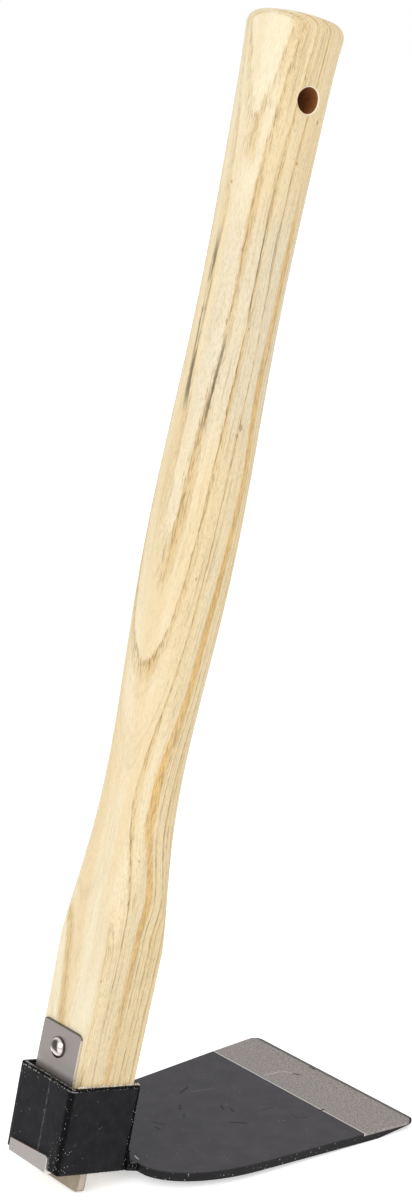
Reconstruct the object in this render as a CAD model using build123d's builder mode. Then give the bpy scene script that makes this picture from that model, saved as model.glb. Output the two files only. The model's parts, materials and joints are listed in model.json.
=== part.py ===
from build123d import *
from math import atan2, cos, degrees, radians, sin, tan
import os

# A short-handled draw hoe, in millimetres, as it stands by itself on a flat floor: on the end of
# the wedge under its eye and on the heel of its blade. +X points from the eye to the cutting
# edge, +Z is up, and the origin is the middle of its footprint.
#
# Unless a comment says otherwise, heights are measured along the handle from the foot of the
# eye, and "front" and "back" are measured from the handle's axis.

# --- eye: a box folded from strip steel, which grips the handle's tenon ---------------------
EYE_HEIGHT = 31.2
EYE_BACK = 16.4
EYE_FRONT = 14.7
EYE_WIDTH = 31.0
EYE_WALL = 2.0
EYE_LEAN = 1.5
EYE_BACK_CORNER = 1.8
EYE_FRONT_CORNER = 1.3
EYE_INNER_CORNER = 0.8
EYE_RIM_ROUND = 0.5
SEAM_WIDTH = 0.35
SEAM_DEPTH = 0.5
SEAM_OFFSET = 2.6
SEAM_SLANT = 2.0

# --- blade: flat plate welded to the front of the eye ----------------------------------------
BLADE_LENGTH = 112.8
BLADE_THICKNESS = 3.5
BLADE_PITCH = 11.06
BLADE_OFFSET = 0.4
BLADE_RISE = 1.92
BLADE_EDGE_WIDTH = 91.6
BLADE_SHOULDER_WIDTH = 78.4
BLADE_TANG_LENGTH = 4.4
BLADE_TANG_WIDTH = 30.4
BLADE_SHOULDER_LENGTH = 36.7
BLADE_ROOT_BEVEL = 5.0
BLADE_CORNER = 3.6
GROUND_BAND = 24.6
GROUND_DROP = 0.2
HEEL_BEVEL = 18.0
EDGE_THICKNESS = 0.55
SHOULDER_FULLNESS = 0.5523

# --- welds between blade and eye ---------------------------------------------------------------
WELD_TOP_LEG = 4.2
WELD_TOP_THROAT = 1.9
WELD_UNDER_LEG = 1.6
WELD_UNDER_BULGE = 0.5
WELD_END_GAP = 0.4

# --- handle: square block at the foot, round grip above ---------------------------------------
HANDLE_LENGTH = 402.6
BLOCK_BACK = 11.83
BLOCK_FRONT = 12.22
BLOCK_FOOT_WIDTH = 27.44
BLOCK_TOP_WIDTH = 29.2
BLOCK_CORNER = 1.5
BLOCK_LENGTH = 47.8
SHOULDER_LENGTH = 56.0
SHOULDER_MID_CORNER = 7.8
RISE_LENGTH = 45.0
SWELL_LENGTH = 55.0
FLARE_LENGTH = 45.0
BUTT_LENGTH = 45.6
NECK_DEPTH, NECK_WIDTH = 24.2, 27.2
RISE_DEPTH, RISE_WIDTH = 28.9, 28.1
SWELL_DEPTH, SWELL_WIDTH = 31.6, 29.8
WAIST_DEPTH, WAIST_WIDTH = 28.6, 27.0
FLARE_DEPTH, FLARE_WIDTH = 30.2, 28.0
BUTT_DEPTH, BUTT_WIDTH = 34.4, 31.4
BUTT_ROUND = 4.5
GRIP_FLAT = 1.6
GRIP_SHIFT = -0.3
TENON_EDGE_ROUND = 1.2
HANG_HOLE_DIAMETER = 8.8
HANG_HOLE_FROM_BUTT = 27.6
HANG_HOLE_SHIFT = -1.0
HANG_HOLE_CHAMFER = 0.5

# --- wedge driven into the tenon from below -----------------------------------------------------
WEDGE_LENGTH = 30.0
WEDGE_STANDOUT = 8.2
WEDGE_HEAD = 3.0
WEDGE_TIP = 1.0
WEDGE_WIDTH = 24.6
WEDGE_CENTRE = -1.65
WEDGE_CORNER = 1.8
KERF_RUNOUT = 3.0

# --- retaining strip, hooked round the foot of the eye's back wall, and its nail ----------------
STRIP_THICKNESS = 1.0
STRIP_WIDTH = 21.8
STRIP_OFFSET = 1.1
STRIP_RISE = 17.0
STRIP_NEAR_CORNER = 2.8
STRIP_FAR_CORNER = 1.0
STRIP_BEND = 0.9
LIP_NEAR_HEIGHT = 5.3
LIP_FAR_HEIGHT = 3.9
LIP_CORNER = 1.4
NAIL_OFFSET = 1.8
NAIL_BELOW_STRIP_TOP = 7.8
NAIL_HEAD_DIAMETER = 7.5
NAIL_HEAD_HEIGHT = 2.1
NAIL_HEAD_RIM = 0.4
NAIL_SHANK_DIAMETER = 3.0
NAIL_LENGTH = 18.0
NAIL_POINT_LENGTH = 4.0
NAIL_HOLE_EASE = 0.05

# --- heights and faces worked out from the sizes above -----------------------------------------
strip_top = EYE_HEIGHT + STRIP_RISE
block_top = EYE_HEIGHT + BLOCK_LENGTH
neck_height = block_top + SHOULDER_LENGTH
rise_height = neck_height + RISE_LENGTH
swell_height = rise_height + SWELL_LENGTH
flare_height = HANDLE_LENGTH - BUTT_LENGTH
waist_height = flare_height - FLARE_LENGTH


def eye_shift(height):
    """How far the leaning eye has moved back at a height above its foot."""
    return height * tan(radians(EYE_LEAN))


pitch = radians(BLADE_PITCH)
wall_lean = radians(EYE_LEAN)
blade_root = (EYE_FRONT - eye_shift(BLADE_RISE), BLADE_RISE)


def on_blade(along, below=0):
    """Depth and height of a point along the blade from its root, and below its top face."""
    return (
        blade_root[0] + along * cos(pitch) + below * sin(pitch),
        blade_root[1] + along * sin(pitch) - below * cos(pitch),
    )


# Where the hoe touches the floor: the wedge's lower front edge, and the heel of the blade, where
# the bevel under its cutting edge starts.
heel = on_blade(BLADE_LENGTH - HEEL_BEVEL, BLADE_THICKNESS)
wedge_foot = (WEDGE_CENTRE + WEDGE_HEAD / 2, -WEDGE_STANDOUT)
lean = atan2(heel[1] - wedge_foot[1], heel[0] - wedge_foot[0])

# The reach of the standing hoe in front of and behind the foot of the eye: to the cutting edge,
# and to the outside of the bend at the foot of the strip's lip.
edge_tip = on_blade(BLADE_LENGTH, GROUND_DROP)
bend_centre = (STRIP_BEND - EYE_BACK - STRIP_THICKNESS, STRIP_BEND - STRIP_THICKNESS)
front_reach = edge_tip[0] * cos(lean) + edge_tip[1] * sin(lean)
back_reach = STRIP_BEND - bend_centre[0] * cos(lean) - bend_centre[1] * sin(lean)
foot_above_floor = wedge_foot[0] * sin(lean) - wedge_foot[1] * cos(lean)

# HEAD is the tool's own frame: its origin on the handle's axis at the foot of the eye, its X
# forward and its Z up the handle. SIDE shows it from its right, with depth across and height
# up, and REAR lies on the outside of the eye's back wall, seen from behind.
head_place = ((back_reach - front_reach) / 2, BLADE_OFFSET, foot_above_floor)
HEAD = Plane(Location(head_place, (0, degrees(lean), 0)))
SIDE = Plane(HEAD.location * Location((0, 0, 0), (90, 0, 0)))
REAR_TURN = Location((-EYE_BACK, 0, 0), (0, 0, -90))
REAR = Plane(HEAD.location * REAR_TURN * Location((0, 0, 0), (90 + EYE_LEAN, 0, 0)))
blade_place = (blade_root[0], -BLADE_OFFSET, blade_root[1])
BLADE_TOP = Plane(HEAD.location * Location(blade_place, (0, -BLADE_PITCH, 0)))
BLADE_SIDE = Plane(BLADE_TOP.location * Location((0, 0, 0), (90, 0, 0)))
UP = Axis(HEAD.origin, HEAD.z_dir)
FORWARD = Axis(HEAD.origin, HEAD.x_dir)

# STRIP_SIDE is the strip's own middle. NAIL_SIDE holds the nail's axis, its X running from the
# outside of the strip into the wood.
STRIP_SIDE = Plane(SIDE.location * Location((0, 0, -STRIP_OFFSET)))
nail_place = Location((-BLOCK_BACK - STRIP_THICKNESS, strip_top - NAIL_BELOW_STRIP_TOP, -NAIL_OFFSET))
NAIL_SIDE = Plane(SIDE.location * nail_place)
NAIL_AXIS = Axis(NAIL_SIDE.origin, NAIL_SIDE.x_dir)


def nail_shank(ease):
    """The half outline of the nail under its head, wider by ease all round."""
    radius = NAIL_SHANK_DIAMETER / 2 + ease
    return (
        (0, 0),
        (0, radius),
        (NAIL_LENGTH - NAIL_POINT_LENGTH, radius),
        (NAIL_LENGTH + ease, 0),
    )


os.makedirs("parts", exist_ok=True)

# --- eye -----------------------------------------------------------------------------------------
eye_depth = EYE_FRONT + EYE_BACK
eye_middle = (EYE_FRONT - EYE_BACK) / 2
eye_slope = HEAD.z_dir - HEAD.x_dir * eye_shift(1)

with BuildPart() as eye_socket:
    with BuildSketch(HEAD) as eye_section:
        with Locations((eye_middle, 0)):
            Rectangle(eye_depth, EYE_WIDTH)
        fillet(eye_section.vertices().group_by(Axis.X)[0], EYE_BACK_CORNER)
        fillet(eye_section.vertices().group_by(Axis.X)[-1], EYE_FRONT_CORNER)
        with Locations((eye_middle, 0)):
            RectangleRounded(
                eye_depth - 2 * EYE_WALL, EYE_WIDTH - 2 * EYE_WALL, EYE_INNER_CORNER, mode=Mode.SUBTRACT
            )
    extrude(amount=EYE_HEIGHT * eye_slope.length, dir=eye_slope)
    rim = eye_socket.faces().sort_by(UP)[-1]
    fillet(rim.outer_wire().edges(), EYE_RIM_ROUND)
    # the butt joint of the folded strip, up the middle of the back wall
    with BuildSketch(REAR):
        with Locations((SEAM_OFFSET, EYE_HEIGHT / 2)):
            Rectangle(SEAM_WIDTH, 2 * EYE_HEIGHT, rotation=SEAM_SLANT)
    extrude(amount=-SEAM_DEPTH, mode=Mode.SUBTRACT)
eye_socket.part.label = "eye_socket"
export_step(eye_socket.part, "parts/eye_socket.step")

# --- blade ---------------------------------------------------------------------------------------
# Its plan has its length along X, from the root against the eye to the cutting edge.
shoulder_end = BLADE_TANG_LENGTH + BLADE_SHOULDER_LENGTH
flare = (BLADE_EDGE_WIDTH - BLADE_SHOULDER_WIDTH) / 2 / (BLADE_LENGTH - shoulder_end)
tang_half = BLADE_TANG_WIDTH / 2
shoulder_half = BLADE_SHOULDER_WIDTH / 2
edge_half = BLADE_EDGE_WIDTH / 2
root_overlap = BLADE_THICKNESS
belly_reach = SHOULDER_FULLNESS * BLADE_SHOULDER_LENGTH
belly_rise = SHOULDER_FULLNESS * (shoulder_half - tang_half)

with BuildPart() as blade:
    with BuildSketch(BLADE_TOP) as blade_plan:
        with BuildLine():
            Line((-root_overlap, 0), (-root_overlap, tang_half))
            Line((-root_overlap, tang_half), (BLADE_TANG_LENGTH, tang_half))
            Bezier(
                (BLADE_TANG_LENGTH, tang_half),
                (BLADE_TANG_LENGTH, tang_half + belly_rise),
                (shoulder_end - belly_reach, shoulder_half - flare * belly_reach),
                (shoulder_end, shoulder_half),
            )
            Line((shoulder_end, shoulder_half), (BLADE_LENGTH, edge_half))
            Line((BLADE_LENGTH, edge_half), (BLADE_LENGTH, 0))
            mirror(about=Plane.XZ)
        make_face()
        fillet(blade_plan.vertices().group_by(Axis.X)[-1], BLADE_CORNER)
    extrude(amount=-BLADE_THICKNESS)
    # the ground band falls a little from the flat, and the edge is bevelled from beneath
    with BuildSketch(BLADE_SIDE):
        with BuildLine():
            Polyline(
                (BLADE_LENGTH - GROUND_BAND, 0),
                (BLADE_LENGTH, -GROUND_DROP),
                (BLADE_LENGTH, BLADE_THICKNESS),
                (BLADE_LENGTH - GROUND_BAND, BLADE_THICKNESS),
                close=True,
            )
        make_face()
        with BuildLine():
            Polyline(
                (BLADE_LENGTH - HEEL_BEVEL, -BLADE_THICKNESS),
                (BLADE_LENGTH, -GROUND_DROP - EDGE_THICKNESS),
                (BLADE_LENGTH, -2 * BLADE_THICKNESS),
                (BLADE_LENGTH - HEEL_BEVEL, -2 * BLADE_THICKNESS),
                close=True,
            )
        make_face()
    extrude(amount=BLADE_EDGE_WIDTH, both=True, mode=Mode.SUBTRACT)
    # the root ends on the eye's leaning front wall, bevelled from beneath to the eye's foot
    bevel_end = on_blade(BLADE_ROOT_BEVEL, BLADE_THICKNESS)
    with BuildSketch(SIDE):
        with BuildLine():
            Polyline(
                (EYE_FRONT + eye_shift(EYE_HEIGHT), -EYE_HEIGHT),
                (EYE_FRONT - eye_shift(EYE_HEIGHT), EYE_HEIGHT),
                (-EYE_BACK, EYE_HEIGHT),
                (-EYE_BACK, -EYE_HEIGHT),
                close=True,
            )
        make_face()
        with BuildLine():
            Polyline(
                (EYE_FRONT, 0),
                bevel_end,
                (bevel_end[0], -EYE_HEIGHT),
                (EYE_FRONT, -EYE_HEIGHT),
                close=True,
            )
        make_face()
    extrude(amount=BLADE_EDGE_WIDTH, both=True, mode=Mode.SUBTRACT)
blade.part.label = "blade"
export_step(blade.part, "parts/blade.step")

# --- welds ---------------------------------------------------------------------------------------
weld_half = min(EYE_WIDTH / 2 - EYE_FRONT_CORNER, tang_half - BLADE_OFFSET) - WELD_END_GAP

with BuildPart() as weld_top:
    with BuildSketch(SIDE):
        up_wall = (blade_root[0] - eye_shift(WELD_TOP_LEG), blade_root[1] + WELD_TOP_LEG)
        bisector = (radians(90) + wall_lean + pitch) / 2
        throat = (
            blade_root[0] + WELD_TOP_THROAT * cos(bisector),
            blade_root[1] + WELD_TOP_THROAT * sin(bisector),
        )
        with BuildLine():
            Line(blade_root, up_wall)
            ThreePointArc(up_wall, throat, on_blade(WELD_TOP_LEG))
            Line(on_blade(WELD_TOP_LEG), blade_root)
        make_face()
    extrude(amount=weld_half, both=True)
weld_top.part.label = "weld_top"
export_step(weld_top.part, "parts/weld_top.step")

with BuildPart() as weld_under:
    with BuildSketch(SIDE):
        wall_toe = (EYE_FRONT - WELD_UNDER_LEG, 0)
        crown = ((wall_toe[0] + bevel_end[0]) / 2, bevel_end[1] / 2 - WELD_UNDER_BULGE)
        with BuildLine():
            Polyline(wall_toe, (EYE_FRONT, 0), bevel_end)
            ThreePointArc(bevel_end, crown, wall_toe)
        make_face()
    extrude(amount=weld_half, both=True)
weld_under.part.label = "weld_under"
export_step(weld_under.part, "parts/weld_under.step")

# --- handle --------------------------------------------------------------------------------------
block_middle = (BLOCK_FRONT - BLOCK_BACK) / 2
block_depth = BLOCK_FRONT + BLOCK_BACK
shoulder_shift = (block_middle + GRIP_SHIFT) / 2
tenon_front = EYE_FRONT - EYE_WALL
tenon_half = EYE_WIDTH / 2 - EYE_WALL
strip_seat = EYE_BACK - EYE_WALL
tenon_back = strip_seat - STRIP_THICKNESS
wedge_taper = (WEDGE_HEAD - WEDGE_TIP) / WEDGE_LENGTH
wedge_tip_height = WEDGE_LENGTH - WEDGE_STANDOUT
hole_height = HANDLE_LENGTH - HANG_HOLE_FROM_BUTT


def wedge_half(height):
    """Half the wedge's thickness at a height above the foot of the eye."""
    return (WEDGE_TIP + (wedge_tip_height - height) * wedge_taper) / 2


def grip_corner(depth, width):
    """The corner radius that leaves a short flat on the narrower sides of a grip section."""
    return (min(depth, width) - GRIP_FLAT) / 2


with BuildPart() as handle:
    # block, from the rim of the eye up
    for height, width in ((EYE_HEIGHT, BLOCK_FOOT_WIDTH), (block_top, BLOCK_TOP_WIDTH)):
        with BuildSketch(HEAD.offset(height)):
            with Locations((block_middle, 0)):
                RectangleRounded(block_depth, width, BLOCK_CORNER)
    loft(ruled=True)
    # shoulder, where the block's corners are worked away to the round of the neck
    with BuildSketch(HEAD.offset(block_top)):
        with Locations((block_middle, 0)):
            RectangleRounded(block_depth, BLOCK_TOP_WIDTH, BLOCK_CORNER)
    with BuildSketch(HEAD.offset((block_top + neck_height) / 2)):
        with Locations((shoulder_shift, 0)):
            RectangleRounded(
                (block_depth + NECK_DEPTH) / 2, (BLOCK_TOP_WIDTH + NECK_WIDTH) / 2, SHOULDER_MID_CORNER
            )
    # grip
    for height, depth, width in (
        (neck_height, NECK_DEPTH, NECK_WIDTH),
        (rise_height, RISE_DEPTH, RISE_WIDTH),
        (swell_height, SWELL_DEPTH, SWELL_WIDTH),
        (waist_height, WAIST_DEPTH, WAIST_WIDTH),
        (flare_height, FLARE_DEPTH, FLARE_WIDTH),
        (HANDLE_LENGTH, BUTT_DEPTH, BUTT_WIDTH),
    ):
        with BuildSketch(HEAD.offset(height)):
            with Locations((GRIP_SHIFT, 0)):
                RectangleRounded(depth, width, grip_corner(depth, width))
    loft()
    fillet(handle.faces().sort_by(UP)[-1].edges(), BUTT_ROUND)
    # tenon, which fills the eye and leaves room for the strip behind it
    for height, back, front in (
        (0, tenon_back, tenon_front),
        (EYE_HEIGHT, BLOCK_BACK, tenon_front - eye_shift(EYE_HEIGHT)),
    ):
        with BuildSketch(HEAD.offset(height)):
            with Locations(((front - back) / 2, 0)):
                RectangleRounded(front + back, 2 * tenon_half, TENON_EDGE_ROUND)
    loft(ruled=True)
    # saw kerf for the wedge, running on past the wedge's tip
    with BuildSketch(SIDE):
        with BuildLine():
            Polyline(
                (WEDGE_CENTRE - wedge_half(0), 0),
                (WEDGE_CENTRE + wedge_half(0), 0),
                (WEDGE_CENTRE + WEDGE_TIP / 2, wedge_tip_height),
                (WEDGE_CENTRE + WEDGE_TIP / 2, wedge_tip_height + KERF_RUNOUT),
                (WEDGE_CENTRE - WEDGE_TIP / 2, wedge_tip_height + KERF_RUNOUT),
                (WEDGE_CENTRE - WEDGE_TIP / 2, wedge_tip_height),
                close=True,
            )
        make_face()
    extrude(amount=EYE_WIDTH, both=True, mode=Mode.SUBTRACT)
    # hang hole, through the grip from side to side
    with BuildSketch(SIDE):
        with Locations((HANG_HOLE_SHIFT, hole_height)):
            Circle(HANG_HOLE_DIAMETER / 2)
    extrude(amount=BUTT_WIDTH, both=True, mode=Mode.SUBTRACT)
    hole_wall = handle.faces().filter_by(GeomType.CYLINDER).sort_by(UP)[-1]
    chamfer(hole_wall.edges().filter_by(GeomType.LINE, reverse=True), HANG_HOLE_CHAMFER)
    # the nail's own hole
    with BuildSketch(NAIL_SIDE):
        with BuildLine():
            Polyline(*nail_shank(NAIL_HOLE_EASE), close=True)
        make_face()
    revolve(axis=NAIL_AXIS, mode=Mode.SUBTRACT)
handle.part.label = "handle"
export_step(handle.part, "parts/handle.step")

# --- wedge ---------------------------------------------------------------------------------------
with BuildPart() as wedge:
    with BuildSketch(SIDE):
        with BuildLine():
            Polyline(
                (WEDGE_CENTRE - WEDGE_HEAD / 2, -WEDGE_STANDOUT),
                (WEDGE_CENTRE + WEDGE_HEAD / 2, -WEDGE_STANDOUT),
                (WEDGE_CENTRE + WEDGE_TIP / 2, wedge_tip_height),
                (WEDGE_CENTRE - WEDGE_TIP / 2, wedge_tip_height),
                close=True,
            )
        make_face()
    extrude(amount=WEDGE_WIDTH / 2, both=True)
    foot_corners = wedge.edges().filter_by(Axis((0, 0, 0), HEAD.x_dir)).group_by(UP)[0]
    fillet(foot_corners, WEDGE_CORNER)
wedge.part.label = "wedge"
export_step(wedge.part, "parts/wedge.step")

# --- retaining strip -----------------------------------------------------------------------------
# One bent strip: down the back of the block, down inside the eye, under its back wall and up
# the outside of it as a short lip.
lip_top = LIP_NEAR_HEIGHT
strip_near = STRIP_WIDTH / 2 - STRIP_OFFSET
strip_far = STRIP_WIDTH / 2 + STRIP_OFFSET

with BuildPart() as retaining_strip:
    with BuildSketch(STRIP_SIDE) as strip_section:
        with BuildLine():
            Polyline(
                (-BLOCK_BACK, strip_top),
                (-BLOCK_BACK, EYE_HEIGHT),
                (-tenon_back, 0),
                (-tenon_back, -STRIP_THICKNESS),
                (-EYE_BACK - STRIP_THICKNESS, -STRIP_THICKNESS),
                (-EYE_BACK - STRIP_THICKNESS - eye_shift(lip_top), lip_top),
                (-EYE_BACK - eye_shift(lip_top), lip_top),
                (-EYE_BACK, 0),
                (-strip_seat, 0),
                (-BLOCK_BACK - STRIP_THICKNESS, EYE_HEIGHT),
                (-BLOCK_BACK - STRIP_THICKNESS, strip_top),
                close=True,
            )
        make_face()
        fillet(strip_section.vertices().group_by(Axis.Y)[0], STRIP_BEND)
    extrude(amount=STRIP_WIDTH / 2, both=True)
    top_edges = retaining_strip.edges().filter_by(Axis((0, 0, 0), HEAD.x_dir)).group_by(UP)[-1]
    fillet(top_edges.sort_by(Axis.Y)[0], STRIP_NEAR_CORNER)
    fillet(top_edges.sort_by(Axis.Y)[-1], STRIP_FAR_CORNER)
    with BuildSketch(NAIL_SIDE):
        with BuildLine():
            Polyline(*nail_shank(NAIL_HOLE_EASE), close=True)
        make_face()
    revolve(axis=NAIL_AXIS, mode=Mode.SUBTRACT)
    lip_corners = retaining_strip.edges().filter_by(Axis((0, 0, 0), HEAD.x_dir)).group_by(FORWARD)[0]
    fillet(lip_corners.sort_by(Axis.Y)[0], LIP_CORNER)
    # the lip's top edge slopes down towards the far side
    with BuildSketch(REAR):
        with BuildLine():
            Polyline(
                (strip_near, LIP_NEAR_HEIGHT),
                (-strip_far, LIP_FAR_HEIGHT),
                (-strip_far, LIP_NEAR_HEIGHT + STRIP_THICKNESS),
                (strip_near, LIP_NEAR_HEIGHT + STRIP_THICKNESS),
                close=True,
            )
        make_face()
    extrude(amount=2 * STRIP_THICKNESS, mode=Mode.SUBTRACT)
retaining_strip.part.label = "retaining_strip"
export_step(retaining_strip.part, "parts/retaining_strip.step")

# --- nail ----------------------------------------------------------------------------------------
with BuildPart() as strip_nail:
    with BuildSketch(NAIL_SIDE):
        with BuildLine():
            Polyline(*nail_shank(0), close=True)
        make_face()
        with BuildLine():
            head_top = (-NAIL_HEAD_HEIGHT, 0)
            head_rim = (-NAIL_HEAD_RIM, NAIL_HEAD_DIAMETER / 2)
            Line((0, 0), (0, NAIL_HEAD_DIAMETER / 2))
            Line((0, NAIL_HEAD_DIAMETER / 2), head_rim)
            TangentArc(head_top, head_rim, tangent=(0, 1))
            Line(head_top, (0, 0))
        make_face()
    revolve(axis=NAIL_AXIS)
strip_nail.part.label = "strip_nail"
export_step(strip_nail.part, "parts/strip_nail.step")
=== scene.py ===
"""A short-handled draw hoe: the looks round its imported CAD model, in metres and in the same frame."""

import json
import math

import bmesh
import bpy
import numpy as np
from mathutils import Matrix, Quaternion, Vector, noise


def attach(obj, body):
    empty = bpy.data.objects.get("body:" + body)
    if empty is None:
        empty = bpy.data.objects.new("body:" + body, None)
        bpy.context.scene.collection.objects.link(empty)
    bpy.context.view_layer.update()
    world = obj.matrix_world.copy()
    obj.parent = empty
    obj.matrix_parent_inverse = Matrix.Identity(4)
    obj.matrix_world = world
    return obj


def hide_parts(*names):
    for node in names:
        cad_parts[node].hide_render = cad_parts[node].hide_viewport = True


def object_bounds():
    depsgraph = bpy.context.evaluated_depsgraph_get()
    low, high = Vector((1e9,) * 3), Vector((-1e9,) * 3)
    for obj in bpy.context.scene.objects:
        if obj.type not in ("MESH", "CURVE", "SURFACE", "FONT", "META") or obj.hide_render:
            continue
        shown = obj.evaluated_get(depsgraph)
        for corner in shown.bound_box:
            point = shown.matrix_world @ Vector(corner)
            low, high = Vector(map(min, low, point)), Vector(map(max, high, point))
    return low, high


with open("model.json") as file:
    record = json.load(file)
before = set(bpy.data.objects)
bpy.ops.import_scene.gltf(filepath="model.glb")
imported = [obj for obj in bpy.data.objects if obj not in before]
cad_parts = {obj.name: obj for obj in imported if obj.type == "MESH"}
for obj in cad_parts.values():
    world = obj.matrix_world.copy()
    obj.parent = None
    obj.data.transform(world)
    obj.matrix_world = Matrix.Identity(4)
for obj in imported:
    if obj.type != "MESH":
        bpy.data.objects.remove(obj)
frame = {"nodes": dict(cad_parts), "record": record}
cad_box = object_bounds()

# ---------------------------------------------------------------- sizes and places
# Lengths are in mm unless a comment says otherwise. On the head, x is the depth towards the blade, y the
# width and z the height, measured along the handle's axis from the eye's foot.
MM = 0.001
LEAN = math.radians(12.91)  # the handle's axis, away from upright and towards the blade
PITCH = math.radians(11.06)  # the blade's top face, up from square to the handle
HOLE_HEIGHT = 375.0
HOLE_SHIFT = -1.0  # from the handle's axis to the hang hole
BLADE_START = (14.65, -0.4, 1.92)  # where the blade's top face leaves the eye
BLADE_LENGTH = 112.8
GROUND_BAND = 24.6  # the width of the bare band along the edge
EYE_HEIGHT = 31.2
EYE_BACK = -17.0
EYE_FRONT = 14.65
EYE_SIDE = -15.5  # the eye's -Y side
SEAM_ACROSS = -2.7  # the seam up the eye's back wall

hole_mount = frame["record"]["mounts"][0]
hang_hole = Vector(hole_mount["pos_m"])
HOLE_RADIUS = hole_mount["dims"]["r_mm"]
lean_turn = Matrix.Rotation(LEAN, 4, "Y")
head_origin = hang_hole - lean_turn @ Vector((HOLE_SHIFT, 0, HOLE_HEIGHT)) * MM
head = Matrix.Translation(head_origin) @ lean_turn
blade_frame = head @ Matrix.Translation(Vector(BLADE_START) * MM) @ Matrix.Rotation(-PITCH, 4, "Y")


def vertices_in(place, node):
    """A CAD node's vertices in mm in the given frame, one to a row."""
    inverse = place.inverted()
    body = frame["nodes"][node]
    return np.array([inverse @ (body.matrix_world @ vertex.co) for vertex in body.data.vertices]) / MM


strip_vertices = vertices_in(head, "retaining_strip")
STRIP_SIDE = float(strip_vertices[:, 1].min())
STRIP_TOP = float(strip_vertices[:, 2].max())
nail_vertices = vertices_in(head, "strip_nail")
nail_middle = (nail_vertices.min(axis=0) + nail_vertices.max(axis=0)) / 2
nail_frame = head @ Matrix.Translation(Vector((0.0, nail_middle[1], nail_middle[2])) * MM)
WEDGE_END = float(vertices_in(head, "wedge")[:, 1].min())
blade_vertices = vertices_in(blade_frame, "blade")
# How far out the -Y corner of the cutting edge lies: along the blade, less its place across.
TIP_REACH = float((blade_vertices[:, 0] - blade_vertices[:, 1]).max())


# ---------------------------------------------------------------- short calls for material nodes
class Shade:
    """One material, with calls that add a node and wire it."""

    def __init__(self, name, **fixed):
        self.material = bpy.data.materials.new(name)
        self.material.use_nodes = True
        self.tree = self.material.node_tree
        self.shader = self.tree.nodes["Principled BSDF"]
        for socket, value in fixed.items():
            self.shader.inputs[socket.replace("_", " ")].default_value = value

    def feed(self, socket, value):
        """Links a node's output to the socket, or sets the socket to a plain value."""
        if isinstance(value, bpy.types.NodeSocket):
            self.tree.links.new(value, socket)
        else:
            socket.default_value = value

    def add(self, kind, inputs=(), out=0, **settings):
        """A new node's output, with its inputs fed and its settings made."""
        made = self.tree.nodes.new("ShaderNode" + kind)
        for option, value in settings.items():
            setattr(made, option, value)
        for key, value in dict(inputs).items():
            self.feed(made.inputs[key], value)
        return made.outputs[out]

    def space(self, place):
        """The surface's place in mm in the given frame."""
        inverse = place.inverted()
        turn = inverse.to_euler()
        shift = tuple(inverse.translation / MM)
        where = self.add("TexCoord", out="Object")
        sized = {0: where, "Scale": (1 / MM,) * 3, "Rotation": turn, "Location": shift}
        return self.add("Mapping", sized)

    def scaled(self, where, scale, shift=(0, 0, 0)):
        return self.add("Mapping", {0: where, "Scale": scale, "Location": shift})

    def parts(self, where):
        """A place's x, y and z."""
        split = self.tree.nodes.new("ShaderNodeSeparateXYZ")
        self.tree.links.new(where, split.inputs[0])
        return split.outputs

    def math(self, operation, first, second=0.0, third=0.0):
        inputs = {0: first, 1: second, 2: third}
        return self.add("Math", inputs, operation=operation)

    def times(self, first, *others):
        """The product of some values."""
        for other in others:
            first = self.math("MULTIPLY", first, other)
        return first

    def most(self, first, *others):
        """The largest of some values."""
        for other in others:
            first = self.math("MAXIMUM", first, other)
        return first

    def away(self, first, second):
        """The distance from the middle of two values that lie at a right angle."""
        both = self.add("CombineXYZ", {0: first, 1: second})
        return self.add("VectorMath", {0: both}, out="Value", operation="LENGTH")

    def span(self, value, low, high, start=0.0, end=1.0):
        """Start below low, end above high, and a smooth step between."""
        inputs = {"Value": value, "From Min": low, "From Max": high, "To Min": start, "To Max": end}
        return self.add("MapRange", inputs, interpolation_type="SMOOTHSTEP")

    def band(self, value, start, full, fade, end):
        """1 between full and fade, 0 outside start and end."""
        return self.times(self.span(value, start, full), self.span(value, fade, end, 1.0, 0.0))

    def noise(self, where, scale, detail=2.0, rough=0.5):
        inputs = {"Vector": where, "Scale": scale, "Detail": detail, "Roughness": rough}
        return self.add("TexNoise", inputs)

    def spots(self, where, scale, low, high):
        """1 at the middle of scattered cells, 0 beyond the outer distance."""
        near = self.add("TexVoronoi", {"Vector": where, "Scale": scale})
        return self.span(near, low, high, 1.0, 0.0)

    def mix(self, amount, first, second):
        inputs = {0: amount, 6: first, 7: second}
        return self.add("Mix", inputs, out=2, data_type="RGBA", blend_type="MIX")

    def layered(self, colour, layers):
        """A colour with others laid over it in turn, each by its own amount."""
        for amount, over in layers:
            colour = self.mix(amount, colour, over)
        return colour

    def bump(self, height, distance, strength):
        return self.add("Bump", {"Height": height, "Distance": distance, "Strength": strength})

    def finish(self, **linked):
        """Feeds the shader and gives the material."""
        for socket, value in linked.items():
            self.feed(self.shader.inputs[socket.replace("_", " ")], value)
        return self.material


def linear(red, green, blue):
    """A colour given in 0 to 255 as it looks on a screen, for a shader's socket."""
    levels = (red / 255, green / 255, blue / 255)
    return tuple(c / 12.92 if c <= 0.04045 else ((c + 0.055) / 1.055) ** 2.4 for c in levels) + (1.0,)


# ---------------------------------------------------------------- the handle's ash
PALE_ASH = linear(247, 235, 204)
WARM_ASH = linear(240, 218, 177)
GREY_ASH = linear(243, 221, 176)
DULL_ASH = linear(232, 221, 196)
EARLY_TAN = linear(223, 190, 130)
PORE_BROWN = linear(146, 121, 82)
AMBER = linear(236, 196, 128)
STAIN = linear(70, 68, 58)
# Painted shade inside the hang hole, and a painted highlight round its edge.
BORE_SHADE_BROWN = linear(154, 88, 30)
HOLE_EDGE_HIGHLIGHT = linear(255, 244, 224)

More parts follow.
